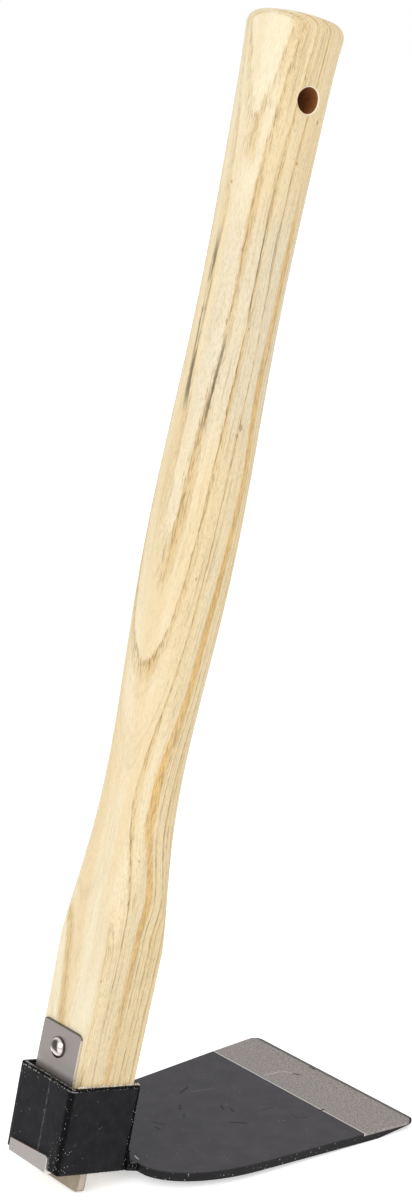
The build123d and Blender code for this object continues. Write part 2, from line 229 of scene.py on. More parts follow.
# The rings are sheets, bulging towards the handle's back, that turn and shift slowly along it, so they show
# as long arches on the back and as lines on the sides. A ring's depth is how far out in the tree it grew.
RING_MIDDLE = 200.0  # the height that the numbers per 100 mm count from
RING_TURN = (0.235, 0.075)  # radians the sheets' normal turns from the back to the -Y side, and per 100 mm
RING_BULGE = (0.031, 0.0074)  # 1/mm, and per 100 mm
RING_SHIFT = (2.5, 0.37, -0.71)  # per 100 mm, its square and its cube
RING_WAVE = -0.27  # the slow wave's height
RING_WAVE_LENGTH = 110.0
RING_FRAY = 0.36  # how far the fine noise moves a ring in all
# Each ring's depth, the reach of its tan early wood, half its pore line's width, and the line's strength.
RINGS = (
    (-21.0, 1.2, 0.2, 0.6), (-17.4, 1.5, 0.2, 0.7), (-13.2, 1.0, 0.2, 0.7), (-9.0, 1.2, 0.2, 0.7),
    (-5.2, 0.8, 0.2, 0.8), (-2.4, 0.5, 0.15, 0.5), (-0.6, 1.0, 0.2, 0.8), (2.4, 0.5, 0.15, 0.5),
    (14.5, 0.9, 0.16, 0.9), (19.6, 1.0, 0.2, 0.6),
)
CROWN_RING = (17.46, 0.4, 0.08, 0.35)  # the ring that only reaches the surface near the butt
CROWN_FROM = (346.0, 356.0)  # the heights over which it comes in
BACK_RING = (16.74, 0.7, 0.11, 0.55)  # the ring whose arch fills the upper back
SIDE_RING = (10.8, 0.6, 0.16, 0.9)  # the ring that, low down, stays on the -Y side
ARCH_LEGS = (-5.0, -3.0)  # across the back, between the right leg of the back ring's arch and its left leg
ARCH_FOOT = (186.0, 200.0)  # the heights over which the side ring's line comes in across the back
# The depths where one ring's amber early wood starts, is full, fades and ends.
AMBER_RING = (3.3, 3.9, 6.0, 6.7)
AMBER_TOP = (326.0, 346.0)  # the heights over which it fades upwards
AMBER_FOOT = (60.0, 95.0)  # and downwards
# The amber ring's swerves: from one height to another it moves by so much.
AMBER_SWERVES = (
    (84, 97, -1.5), (97, 125, 4.2), (134, 176, -2.3), (176, 242, -1.0), (242, 278, 2.5), (280, 305, -0.7),
)
SWERVE_AT_FOOT = -0.5
SWERVE_DEPTHS = (8.3, 10.3)  # the depths over which the swerves die out
STREAK_HEIGHT = 50.0  # a tan streak low on the back passes this height
STREAK_ACROSS = 4.5  # at this place across
STREAK_SLOPE = 0.151
STREAK_TOP = (86.0, 94.0)  # the heights over which it ends
DULL_HEIGHTS = (245.0, 275.0, 322.0, 350.0)  # where the back's duller wood starts, is full, fades and ends
# Stretches of ring lines stained near black: depth, half width, which half of the back, and the heights
# where each starts, is full, fades and ends.
STAINS = (
    (BACK_RING[0] - 0.14, 0.26, "left", (264.0, 274.0, 318.0, 330.0)),
    (BACK_RING[0] - 0.12, 0.13, "right", (256.0, 268.0, 286.0, 298.0)),
    (14.6, 0.16, "right", (296.0, 306.0, 328.0, 342.0)),
    (SIDE_RING[0] + 0.4, 0.2, "right", (312.0, 320.0, 330.0, 338.0)),
)
# Small marks: where on the head, and size.
MARKS = (
    (-1.5, -14.5, 264, 0.9), (-2.5, -14.5, 261, 0.6), (-15, -0.5, 344, 0.5), (0, -14, 354, 0.5),
    (5.5, -14, 369, 0.7), (-5.5, -13, 297, 0.4), (-7, -14, 211, 0.5), (-6.5, -13.5, 112, 0.4),
    (-12, -12.5, 69, 0.5),
)
MARK_SQUEEZE = 0.6  # the marks' width over their length


def polynomial(shade, value, numbers):
    """Start, slope, bend and so on, times the value's powers."""
    total = numbers[-1]
    for number in reversed(numbers[:-1]):
        total = shade.math("MULTIPLY_ADD", total, value, number)
    return total


def amber_swerve(shade, depth, z):
    """How far the amber ring has swerved at a height, dying out in the rings outside it."""
    swerve = SWERVE_AT_FOOT
    for low, high, shift in AMBER_SWERVES:
        swerve = shade.math("ADD", swerve, shade.span(z, low, high, 0.0, shift))
    return shade.times(swerve, shade.span(depth, *SWERVE_DEPTHS, 1.0, 0.0))


def ring_depth(shade, place):
    """How far out in the growth rings a place is, with the slow wave and fine fraying of real grain."""
    x, y, z = shade.parts(place)
    level = shade.math("DIVIDE", shade.math("SUBTRACT", z, RING_MIDDLE), 100.0)
    turn = polynomial(shade, level, RING_TURN)
    bulge = polynomial(shade, level, RING_BULGE)
    sine, cosine = shade.math("SINE", turn), shade.math("COSINE", turn)
    outward = shade.math("MULTIPLY_ADD", x, cosine, shade.times(y, sine))
    sideways = shade.math("SUBTRACT", shade.times(y, cosine), shade.times(x, sine))
    depth = shade.math("SUBTRACT", shade.times(sideways, sideways, bulge, 0.5), outward)
    depth = shade.math("ADD", depth, polynomial(shade, level, (0.0,) + RING_SHIFT))
    wave = shade.math("SINE", shade.times(z, 2 * math.pi / RING_WAVE_LENGTH))
    depth = shade.math("MULTIPLY_ADD", wave, RING_WAVE, depth)
    depth = shade.math("SUBTRACT", depth, amber_swerve(shade, depth, z))
    fray = shade.noise(shade.scaled(place, (1.6, 1.6, 0.07)), 1.0, 3.0, 0.6)
    return shade.math("MULTIPLY_ADD", shade.math("SUBTRACT", fray, 0.5), RING_FRAY, depth)


def thin_line(shade, depth, level, half):
    """1 along a ring's line, 0 beyond its half width."""
    return shade.band(depth, level - half, level - 0.3 * half, level + 0.3 * half, level + half)


def ring_marks(shade, depth, ring, where=1.0):
    """One ring's tan early wood, its thin line of pores, and the gentle tan over the wood inside it."""
    level, reach, half, strength = ring
    tan = shade.band(depth, level - reach, level - half, level, level + 0.25 * reach)
    line = shade.times(thin_line(shade, depth, level, half), strength)
    wide = shade.band(depth, level - 1.8, level - 0.3, level - 0.1, level + 0.15)
    return [shade.times(mark, where) for mark in (tan, line, wide)]


def ring_totals(shade, depth, y, z):
    """The strongest tan early wood, pore line and gentle tan of all the rings."""
    below_arch = shade.times(shade.span(z, *ARCH_FOOT, 1.0, 0.0), shade.span(y, -9.5, -7.5))
    rings = [ring_marks(shade, depth, ring) for ring in RINGS]
    rings.append(ring_marks(shade, depth, CROWN_RING, shade.span(z, *CROWN_FROM, 0.0, 0.7)))
    rings.append(ring_marks(shade, depth, BACK_RING, shade.span(y, *ARCH_LEGS, 1.0, 0.45)))
    rings.append(ring_marks(shade, depth, SIDE_RING, shade.math("SUBTRACT", 1.0, below_arch)))
    return [shade.most(0.0, *marks) for marks in zip(*rings)]


def low_streak(shade, x, y, z):
    """1 on the tan streak that runs aslant low on the back."""
    middle = shade.math("MULTIPLY_ADD", z, STREAK_SLOPE, STREAK_ACROSS - STREAK_HEIGHT * STREAK_SLOPE)
    streak = shade.band(shade.math("SUBTRACT", y, middle), -3.4, -0.2, 0.6, 3.0)
    return shade.times(streak, shade.span(z, *STREAK_TOP, 1.0, 0.0), shade.span(x, -9.0, -7.0, 1.0, 0.0))


def grain_marks(shade, place, depth):
    """The wood's tan early wood, its pore lines, the gentle tan beside them, and its amber ring."""
    x, y, z = shade.parts(place)
    tan, line, wide = ring_totals(shade, depth, y, z)
    tan = shade.most(tan, shade.times(low_streak(shade, x, y, z), 0.9))
    amber = shade.times(shade.band(depth, *AMBER_RING), shade.span(z, *AMBER_TOP, 1.0, 0.25))
    amber = shade.times(amber, shade.span(z, *AMBER_FOOT, 0.7, 1.0))
    return tan, line, wide, amber


def stain_lines(shade, place, depth):
    """Near-black, blotchy stretches of three rings' lines on the upper back."""
    _, y, z = shade.parts(place)
    halves = {"left": shade.span(y, *ARCH_LEGS), "right": shade.span(y, *ARCH_LEGS, 1.0, 0.0)}
    total = 0.0
    for level, half, side, heights in STAINS:
        stretch = shade.times(halves[side], shade.band(z, *heights))
        total = shade.most(total, shade.times(thin_line(shade, depth, level, half), stretch))
    blotch = shade.noise(shade.scaled(place, (0.8, 0.8, 0.06), (1, 6, 4)), 1.0, 2.0)
    return shade.times(total, shade.span(blotch, 0.38, 0.52))


def small_marks(shade, place):
    """Dark pinholes and a tiny knot, each a soft dot a little longer along the grain."""
    total = 0.0
    squeezed = shade.scaled(place, (1, 1, MARK_SQUEEZE))
    for x, y, z, size in MARKS:
        ends = {0: squeezed, 1: (x, y, MARK_SQUEEZE * z)}
        apart = shade.add("VectorMath", ends, out="Value", operation="DISTANCE")
        total = shade.most(total, shade.span(apart, 0.4 * size, 1.2 * size, 1.0, 0.0))
    return total


def bore_layers(shade, place):
    """A painted highlight round the hang hole's edge, and painted shade in the brown of its wall."""
    x, _, z = shade.parts(place)
    out = shade.away(shade.math("SUBTRACT", x, HOLE_SHIFT), shade.math("SUBTRACT", z, HOLE_HEIGHT))
    edge = [HOLE_RADIUS + gap for gap in (0.02, 0.1, 0.35, 0.5)]
    return (
        (shade.times(shade.band(out, *edge), 0.9), HOLE_EDGE_HIGHLIGHT),
        (shade.span(out, HOLE_RADIUS + 0.01, HOLE_RADIUS + 0.06, 0.93, 0.0), BORE_SHADE_BROWN),
    )


def ash_wood():
    """Pale ring-porous ash: broad late wood, lines of early wood with open pores, some coloured streaks."""
    shade = Shade("ash_wood", Roughness=0.6, Specular_IOR_Level=0.25)
    place = shade.space(head)
    _, y, z = shade.parts(place)
    depth = ring_depth(shade, place)
    tan, line, wide, amber = grain_marks(shade, place, depth)
    uneven = shade.noise(shade.scaled(place, (0.2, 0.2, 0.014), (3, 8, 1)), 1.0, 2.0)
    broad = shade.noise(shade.scaled(place, (0.09, 0.09, 0.008), (0, 4, 9)), 1.0, 2.0)
    fibre = shade.noise(shade.scaled(place, (3.0, 3.0, 0.09)), 1.0, 3.0, 0.65)
    dash = shade.noise(shade.scaled(place, (3.2, 3.2, 0.2), (5, 2, 7)), 1.0, 1.0, 0.5)
    grit = shade.noise(shade.scaled(place, (2.0, 2.0, 0.5), (2, 2, 2)), 1.0, 2.0, 0.8)
    sheets = shade.add("CombineXYZ", {0: shade.times(depth, 2.6), 1: shade.times(z, 0.022)})
    strands = shade.noise(sheets, 1.0, 3.0, 0.7)
    side = shade.span(y, -13.5, -9.0, 1.0, 0.0)
    dull = shade.times(shade.band(z, *DULL_HEIGHTS), shade.span(y, -5.0, -1.0, 1.0, 0.0))
    stranded = shade.times(shade.span(strands, 0.5, 0.68), shade.math("MULTIPLY_ADD", side, 0.25, 0.12))
    broken = shade.times(line, shade.span(dash, 0.4, 0.6, 0.25, 1.0))
    in_ring = shade.math("MULTIPLY_ADD", shade.most(tan, amber), 0.85, 0.1)
    pores = shade.times(shade.span(dash, 0.54, 0.64), in_ring)
    gritty = shade.math("MULTIPLY_ADD", shade.most(side, dull), 0.1, 0.12)
    layers = (
        (shade.times(wide, shade.span(uneven, 0.35, 0.65, 0.06, 0.3)), EARLY_TAN),
        (shade.times(side, 0.6), GREY_ASH),
        (shade.times(dull, 0.6), DULL_ASH),
        (shade.times(tan, shade.span(uneven, 0.35, 0.65, 0.3, 0.8)), EARLY_TAN),
        (shade.times(amber, shade.span(uneven, 0.3, 0.5, 0.6, 0.95)), AMBER),
        (shade.span(fibre, 0.42, 0.72, 0.0, 0.24), EARLY_TAN),
        (stranded, PORE_BROWN),
        (shade.times(broken, shade.span(uneven, 0.3, 0.6, 0.25, 0.75)), PORE_BROWN),
        (shade.times(pores, 0.5), PORE_BROWN),
        (shade.times(stain_lines(shade, place, depth), 0.75), STAIN),
        (shade.times(shade.span(grit, 0.42, 0.68), gritty), PORE_BROWN),
        (shade.times(small_marks(shade, place), 0.6), PORE_BROWN),
    )
    colour = shade.mix(shade.span(broad, 0.36, 0.66), PALE_ASH, WARM_ASH)
    colour = shade.layered(colour, layers + bore_layers(shade, place))
    height = shade.math("MULTIPLY_ADD", pores, -1.0, shade.times(fibre, 0.5))
    height = shade.math("MULTIPLY_ADD", grit, 0.4, height)
    return shade.finish(Base_Color=colour, Normal=shade.bump(height, 0.0002, 0.5))


# ---------------------------------------------------------------- the eye's lacquer
LACQUER_DARK = linear(29, 29, 31)
LACQUER_LIGHT = linear(40, 40, 43)
# Painted shade at the eye's -Y corners, and a darker rim.
LACQUER_DARKENED = linear(3, 3, 3)
# A painted highlight along the seam.
SEAM_HIGHLIGHT_GREY = linear(110, 110, 112)
# Painted glints on the lacquer's specks.
SPECK_GLINT_WHITE = linear(222, 220, 216)
GLINT_GREY = linear(176, 174, 171)


def corner_and_rim_darkening(shade, x, wavy_y, z, ragged):
    """1 where the colour is painted darker: painted shade down the eye's corners on the -Y side, and darker
    round its rim.
    """
    wavy_x = shade.math("MULTIPLY_ADD", ragged, 1.2, x)
    near = shade.span(wavy_y, EYE_SIDE + 1.8, EYE_SIDE + 3.0, 1.0, 0.0)
    back_corner = shade.times(near, shade.span(wavy_x, EYE_BACK + 0.9, EYE_BACK + 2.0, 1.0, 0.0))
    front_corner = shade.times(near, shade.span(wavy_x, EYE_FRONT - 2.7, EYE_FRONT - 2.1))
    rim = shade.span(z, EYE_HEIGHT - 0.9, EYE_HEIGHT - 0.5)
    return shade.most(back_corner, front_corner, rim)


def seam_highlight(shade, x, wavy_y, ragged):
    """A painted highlight: a paler, broken line up the eye's back wall, along its filled seam."""
    line = shade.band(wavy_y, *(SEAM_ACROSS + beside for beside in (-0.5, -0.1, 0.1, 0.4)))
    on_back = shade.span(x, EYE_BACK + 0.9, EYE_BACK + 1.3, 1.0, 0.0)
    return shade.times(line, on_back, shade.span(ragged, -0.15, 0.1, 0.2, 0.5))


def lacquer_specks_and_glints(shade, place, darkened):
    """Pale specks: small blisters with painted glints, thick at the painted-dark corners and rim and at
    three other corners, and rare elsewhere.
    """
    x, y, z = shade.parts(place)
    upper_left = shade.times(shade.span(y, 8.0, 11.0), shade.span(z, 24.0, 28.0))
    low_corner = shade.times(shade.span(z, 9.0, 12.0, 1.0, 0.0), shade.span(x, -13.0, -11.5, 1.0, 0.0))
    low_corner = shade.times(low_corner, shade.span(y, -10.0, -8.5, 1.0, 0.0))
    weld_corner = shade.times(shade.span(z, 3.0, 5.0, 1.0, 0.0), shade.span(x, 12.0, 13.0))
    busy = shade.most(darkened, upper_left, low_corner, weld_corner)
    picked = shade.span(shade.noise(place, 0.7, 1.0, 0.5), 0.36, 0.44)
    rare = shade.span(shade.noise(shade.scaled(place, (1, 1, 1), (9, 4, 7)), 0.35, 1.0), 0.66, 0.7)
    amount = shade.most(shade.times(busy, picked), shade.times(rare, 0.6), shade.times(upper_left, 0.8))
    return shade.times(shade.spots(place, 1.05, 0.08, 0.2), amount)


def rim_glints(shade, place):
    """Broken glints along the rim's outer edge and the top of the back wall, most at its +Y corner."""
    x, y, z = shade.parts(place)
    outer = shade.band(z, *(EYE_HEIGHT - below for below in (1.0, 0.85, 0.65, 0.5)))
    outer = shade.times(outer, shade.span(x, -14.0, -12.0, 1.0, 0.15))
    wall = shade.band(x, *(EYE_BACK + inside for inside in (0.5, 0.8, 1.4, 1.7)))
    wall = shade.times(shade.span(z, EYE_HEIGHT - 0.2, EYE_HEIGHT - 0.05), wall)
    far_corner = shade.times(wall, shade.span(y, 7.5, 9.5))
    patchy = shade.noise(place, 1.1, 2.0, 0.6)
    glint = shade.times(shade.most(outer, wall), shade.span(patchy, 0.46, 0.6))
    return shade.most(glint, shade.times(far_corner, shade.span(patchy, 0.3, 0.45)))


def black_lacquer():
    """Satin black lacquer with painted shade at the -Y corners, darker round the rim, a painted highlight
    up the seam, pale specks that are partly painted glints, and broken glints.
    """
    shade = Shade("black_lacquer", Coat_Weight=0.04, Coat_Roughness=0.12, Specular_IOR_Level=0.04)
    place = shade.space(head)
    x, y, z = shade.parts(place)
    mottle = shade.noise(place, 0.25, 4.0, 0.6)
    ragged = shade.math("SUBTRACT", shade.noise(place, 0.8, 2.0, 0.6), 0.5)
    wavy_y = shade.math("MULTIPLY_ADD", ragged, 1.6, y)
    darkened = corner_and_rim_darkening(shade, x, wavy_y, z, ragged)
    speck_and_glint = lacquer_specks_and_glints(shade, place, darkened)
    layers = (
        # Painted shade at the -Y corners, and darker round the rim.
        (shade.times(darkened, 0.85), LACQUER_DARKENED),
        # A painted highlight up the seam.
        (seam_highlight(shade, x, wavy_y, ragged), SEAM_HIGHLIGHT_GREY),
        # Painted glints on the specks.
        (speck_and_glint, SPECK_GLINT_WHITE),
        (shade.times(rim_glints(shade, place), 0.75), GLINT_GREY),
    )
    colour = shade.mix(shade.span(mottle, 0.3, 0.75), LACQUER_DARK, LACQUER_LIGHT)
    colour = shade.layered(colour, layers)
    rough = shade.span(mottle, 0.3, 0.7, 0.34, 0.48)
    peel = shade.noise(place, 0.9, 3.0, 0.55)
    blister = shade.spots(place, 0.35, 0.05, 0.14)
    height = shade.math("MULTIPLY_ADD", blister, 0.8, shade.times(peel, 0.5))
    height = shade.math("MULTIPLY_ADD", speck_and_glint, 0.6, height)
    return shade.finish(Base_Color=colour, Roughness=rough, Normal=shade.bump(height, 0.0003, 0.6))


# ---------------------------------------------------------------- the blade's paint and ground steel
PAINT_DARK = linear(50, 47, 53)
PAINT_LIGHT = linear(61, 58, 64)
PAINT_GRAIN = linear(36, 34, 37)
# Painted shade down the blade's sides, and painted glints on its specks.
PAINT_SIDE_SHADE = linear(20, 19, 21)
PAINT_SPECK_GLINT = linear(190, 188, 190)
STEEL_DARK = linear(118, 112, 109)
STEEL_LIGHT = linear(168, 161, 158)
# A painted highlight where the grinding starts, and painted shade along the cutting edge.
GROUND_HIGHLIGHT = linear(228, 224, 220)
EDGE_SHADE = linear(76, 75, 72)
SCUFF_BLACK = linear(3, 3, 3)
SCUFF_PALE = linear(190, 186, 184)
# Painted shade at the -Y corner of the cutting edge.
TIP_SHADE_BLACK = linear(20, 19, 20)
# A painted highlight beside the weld.
WELD_GLINT_WHITE = linear(225, 223, 222)
GROUND_START = BLADE_LENGTH - GROUND_BAND

# Scuffs on the blade's top: middle along and across the blade, heading in degrees, length and half width.
DARK_SCUFFS = (
    ((56, 22), 24, 9, 0.8), ((45, 11), 55, 5, 0.7), ((42, 5), 50, 4, 0.6), ((58, 2), 65, 5, 0.7),
    ((60, -1), 75, 5, 0.7), ((55, -11), -40, 8, 0.8), ((30, 5), -65, 7, 0.5), ((27, 2), 85, 4, 0.6),
    ((72, -8), -5, 7, 0.4), ((76, -18), 85, 8, 0.4), ((78, -21), -40, 5, 0.5), ((88, -20), 0, 4, 0.7),
    ((102, 9), -60, 4, 0.5), ((111, 10), 85, 4, 0.6),
)
LIGHT_SCUFFS = (((62, 18), -15, 12, 0.4), ((94, 15), -5, 9, 0.5), ((100, 13), -55, 5, 0.4))
# A painted highlight on the paint beside the weld, given like a scuff.
WELD_GLINT = ((6.5, -12), 77, 4, 0.4)


def stroke(shade, x, y, middle, heading, length, half):
    """1 on a short straight scuff, fading out at its ends and beyond its half width."""
    turn = math.radians(heading)
    over_x = shade.math("SUBTRACT", x, middle[0])
    over_y = shade.math("SUBTRACT", y, middle[1])
    along = shade.math("MULTIPLY_ADD", over_x, math.cos(turn), shade.times(over_y, math.sin(turn)))
    beside = shade.math("MULTIPLY_ADD", over_y, math.cos(turn), shade.times(over_x, -math.sin(turn)))
    across = shade.span(shade.math("ABSOLUTE", beside), 0.3 * half, half, 1.0, 0.0)
    ends = shade.span(shade.math("ABSOLUTE", along), 0.3 * length, 0.5 * length, 1.0, 0.0)
    return shade.times(across, ends)


def blade_paint(shade, place, fine):
    """Satin grey paint with painted shade down the sides, and pale specks as painted glints, few on top and
    many on the sides.
    """
    side = shade.span(shade.parts(place)[2], -0.55, -0.25, 1.0, 0.0)
    mottle = shade.noise(place, 0.12, 4.0, 0.6)
    few = shade.span(shade.noise(place, 0.2, 1.0), 0.56, 0.66, 0.0, 0.5)
    # The specks are painted glints.
    specks = shade.times(shade.spots(place, 0.7, 0.1, 0.24), shade.span(fine, 0.48, 0.56))
    specks = shade.times(specks, shade.most(side, few))
    layers = (
        (shade.span(fine, 0.35, 0.7, 0.0, 0.25), PAINT_GRAIN),
        (side, PAINT_SIDE_SHADE),
        (shade.times(specks, 0.7), PAINT_SPECK_GLINT),
    )
    return shade.layered(shade.mix(shade.span(mottle, 0.3, 0.75), PAINT_DARK, PAINT_LIGHT), layers)


def ground_steel(shade, x, along, fine):
    """Speckled bare steel, with a painted highlight where the grinding starts and painted shade along the
    cutting edge.
    """
    line = shade.band(along, *(GROUND_START + past for past in (-0.1, 0.0, 0.3, 0.5)))
    layers = (
        (shade.times(line, 0.8), GROUND_HIGHLIGHT),
        (shade.span(x, BLADE_LENGTH - 1.7, BLADE_LENGTH - 1.3, 0.0, 0.8), EDGE_SHADE),
    )
    return shade.layered(shade.mix(shade.span(fine, 0.3, 0.7), STEEL_DARK, STEEL_LIGHT), layers)


def blade_steel():
    """Dark satin paint on the blade, ground off to speckled bare steel along the edge, with scuffs."""
    shade = Shade("blade_steel", Specular_IOR_Level=0.22)
    place = shade.space(blade_frame)
    x, y, z = shade.parts(place)
    waver = shade.math("SUBTRACT", shade.noise(place, 0.35, 2.0), 0.5)
    along = shade.math("MULTIPLY_ADD", waver, 0.25, x)
    fine = shade.noise(place, 1.4, 3.0, 0.75)
    scratched = shade.noise(place, 0.9, 2.0, 0.7)
    on_top = shade.span(z, -1.2, -0.9)
    ground = shade.times(shade.span(along, GROUND_START - 0.12, GROUND_START + 0.12), on_top)
    dark = shade.most(0.0, *(stroke(shade, x, y, *scuff) for scuff in DARK_SCUFFS))
    dark = shade.times(dark, shade.span(scratched, 0.34, 0.5, 0.3, 1.0), on_top)
    light = shade.most(0.0, *(stroke(shade, x, y, *scuff) for scuff in LIGHT_SCUFFS))
    # Painted shade at the -Y corner of the cutting edge.
    tip = shade.span(shade.math("SUBTRACT", x, y), TIP_REACH - 1.6, TIP_REACH - 1.1)
    # A painted highlight beside the weld.
    weld_glint = shade.times(stroke(shade, x, y, *WELD_GLINT), shade.span(scratched, 0.35, 0.5, 0.3, 1.0))
    layers = (
        (dark, SCUFF_BLACK),
        (shade.times(light, shade.span(ground, 0.0, 1.0, 0.1, 0.7)), SCUFF_PALE),
        (tip, TIP_SHADE_BLACK),
        (shade.times(weld_glint, 0.8), WELD_GLINT_WHITE),
    )
    colour = shade.mix(ground, blade_paint(shade, place, fine), ground_steel(shade, x, along, fine))
    colour = shade.layered(colour, layers)
    metal = shade.times(ground, 0.85)
    rough = shade.math("MULTIPLY_ADD", ground, -0.02, 0.5)
    height = shade.math("MULTIPLY_ADD", fine, 0.5, shade.times(dark, -0.6))
    normal = shade.bump(height, 0.0002, 0.4)
    return shade.finish(Base_Color=colour, Metallic=metal, Roughness=rough, Normal=normal)


# ---------------------------------------------------------------- strip, nail, wedge and torn fibres
STRIP_DARK = linear(140, 134, 132)
STRIP_LIGHT = linear(156, 149, 146)
# Painted light near the rim.
STRIP_PAINTED_LIGHT = linear(200, 193, 189)
STRIP_LIP = linear(164, 158, 155)
STRIP_CUT = linear(232, 226, 220)
# Painted shade along the strip's top.
STRIP_TOP_SHADE = linear(72, 66, 62)
NAIL_DARK = linear(196, 190, 184)
NAIL_LIGHT = linear(226, 222, 216)
# A painted reflection on the nail's head, and painted shade round its rim.
NAIL_REFLECTION_DARK = linear(52, 48, 44)
NAIL_REFLECTION_EDGE = linear(120, 112, 104)
NAIL_RIM_SHADE = linear(40, 36, 34)
WEDGE_LIGHT = linear(178, 168, 150)
WEDGE_DARK = linear(160, 150, 132)
WEDGE_FIBRE = linear(122, 106, 84)
WEDGE_CUT = linear(216, 202, 188)
WEDGE_SHADED = linear(140, 122, 104)
# Partly a painted highlight on the shaved fibres.
SHAVED_HIGHLIGHT_WHITE = linear(255, 250, 238)
SHAVED_TAN = linear(222, 202, 166)


def strip_steel():
    """Satin stainless strip: faint rolling lines, paler at its lip, painted light near the rim and painted
    shade along its top.
    """
    shade = Shade("strip_steel", Metallic=1.0)
    place = shade.space(head)
    _, y, z = shade.parts(place)
    lines = shade.noise(shade.scaled(place, (2.5, 2.5, 0.1)), 1.0, 3.0, 0.6)
    cut_side = shade.span(y, STRIP_SIDE + 0.1, STRIP_SIDE + 0.5, 1.0, 0.0)
    top = shade.span(z, STRIP_TOP - 0.5, STRIP_TOP - 0.25)
    layers = (
        # Painted light near the rim, and painted shade along the top edge.
        (shade.span(z, 31.0, 35.5, 0.75, 0.0), STRIP_PAINTED_LIGHT),
        (shade.span(z, 12.0, 16.0, 1.0, 0.0), STRIP_LIP),
        (shade.times(cut_side, 0.8), STRIP_CUT),
        (shade.times(top, 0.75), STRIP_TOP_SHADE),
    )
    colour = shade.layered(shade.mix(lines, STRIP_DARK, STRIP_LIGHT), layers)
    rough = shade.span(lines, 0.3, 0.7, 0.42, 0.5)
    return shade.finish(Base_Color=colour, Roughness=rough, Normal=shade.bump(lines, 0.00005, 0.4))


def nail_steel():
    """Polished round head with a painted reflection, a dark area with a grey line along its edge, painted
    shade round the rim, and fine marks.
    """
    shade = Shade("nail_steel", Metallic=1.0)
    place = shade.space(nail_frame)
    _, y, z = shade.parts(place)
    out = shade.away(y, z)
    marks = shade.noise(place, 1.5, 3.0, 0.6)
    aslant = shade.math("MULTIPLY_ADD", y, -0.3, z)
    above = shade.math("SUBTRACT", 1.0, shade.span(aslant, -0.9, -0.3, 1.0, 0.0))
    left = shade.span(shade.math("MULTIPLY_ADD", z, -0.35, y), -2.0, -1.5)
    # The patch is a painted reflection.
    patch = shade.times(left, above, shade.span(out, 2.4, 3.0, 1.0, 0.0))
    layers = (
        (shade.times(patch, 0.92), NAIL_REFLECTION_DARK),
        (shade.times(shade.band(aslant, -1.1, -0.8, -0.6, -0.3), 0.5), NAIL_REFLECTION_EDGE),
        (shade.span(out, 3.2, 3.6, 0.0, 0.9), NAIL_RIM_SHADE),
    )
    colour = shade.layered(shade.mix(marks, NAIL_DARK, NAIL_LIGHT), layers)
    rough = shade.span(marks, 0.3, 0.8, 0.12, 0.24)
    return shade.finish(Base_Color=colour, Roughness=rough, Normal=shade.bump(marks, 0.00005, 0.3))


def wedge_wood():
    """Raw split hardwood, a little darker than the handle, with a pale cut end."""
    shade = Shade("wedge_wood", Roughness=0.65, Specular_IOR_Level=0.25)
    place = shade.space(head)
    x, y, _ = shade.parts(place)
    fibre = shade.noise(shade.scaled(place, (3.0, 3.0, 0.15)), 1.0, 4.0, 0.65)
    broad = shade.noise(place, 0.2, 2.0)
    end = shade.span(y, WEDGE_END + 0.1, WEDGE_END + 0.5, 1.0, 0.0)
    layers = (
        (shade.span(fibre, 0.45, 0.75, 0.0, 0.45), WEDGE_FIBRE),
        (shade.times(end, 0.8), WEDGE_CUT),
        (shade.times(end, shade.span(x, -1.5, 0.0), 0.6), WEDGE_SHADED),
    )
    colour = shade.layered(shade.mix(shade.span(broad, 0.3, 0.7), WEDGE_LIGHT, WEDGE_DARK), layers)
    return shade.finish(Base_Color=colour, Normal=shade.bump(fibre, 0.0002, 0.6))


def torn_fibre():
    """Freshly shaved wood fibres, almost white: partly their own paleness and partly a painted highlight
    from light from above.
    """
    shade = Shade("torn_fibre", Roughness=0.7, Specular_IOR_Level=0.2)
    tone = shade.noise(shade.space(head), 1.0, 2.0)
    return shade.finish(Base_Color=shade.mix(shade.span(tone, 0.35, 0.65), SHAVED_HIGHLIGHT_WHITE, SHAVED_TAN))


# ---------------------------------------------------------------- the CAD nodes' materials
NODE_SLOTS = {
    "handle": "ash_wood",
    "eye_socket": "black_lacquer",
    "weld_top": "black_lacquer",
    "weld_under": "black_lacquer",
    "blade": "blade_steel",
    "retaining_strip": "strip_steel",
    "strip_nail": "nail_steel",
    "wedge": "wedge_wood",
}


def make_finishes():
    """One material for each of the record's slots."""
    return {
        "ash_wood": ash_wood(),
        "black_lacquer": black_lacquer(),
        "blade_steel": blade_steel(),
        "strip_steel": strip_steel(),
        "nail_steel": nail_steel(),
        "wedge_wood": wedge_wood(),
    }


def dress_cad_nodes(finishes):
    """Gives each CAD node the material of its slot."""
    for name, slot in NODE_SLOTS.items():
        mesh = frame["nodes"][name].data
        mesh.materials.clear()
        mesh.materials.append(finishes[slot])


# ---------------------------------------------------------------- pieces modelled over the CAD nodes
WELD_TOLERANCE = 0.002  # vertices of a copied mesh that are this near become one
SHELL_VOXEL = 0.4
SHELL_SMOOTHING = 2  # turns
LACQUER_WAVES = ((0.05, 9.0, 1.0), (0.03, 3.0, 2.0))  # height, size and seed
NEAR_CORNER = (-15.8, -15.0)  # the eye's back corner on the -Y side: its depth and width
RIM_REACH = 1.6  # how far from the rim the beads of lacquer go
CORNER_REACH = 2.2  # and how far from the near corner
RIM_BEAD = 0.22  # the beads' greatest height at the rim
CORNER_BEAD = 0.2  # and at the near corner
BEAD_SIZE = 1.3
BEAD_SEED = 3.0
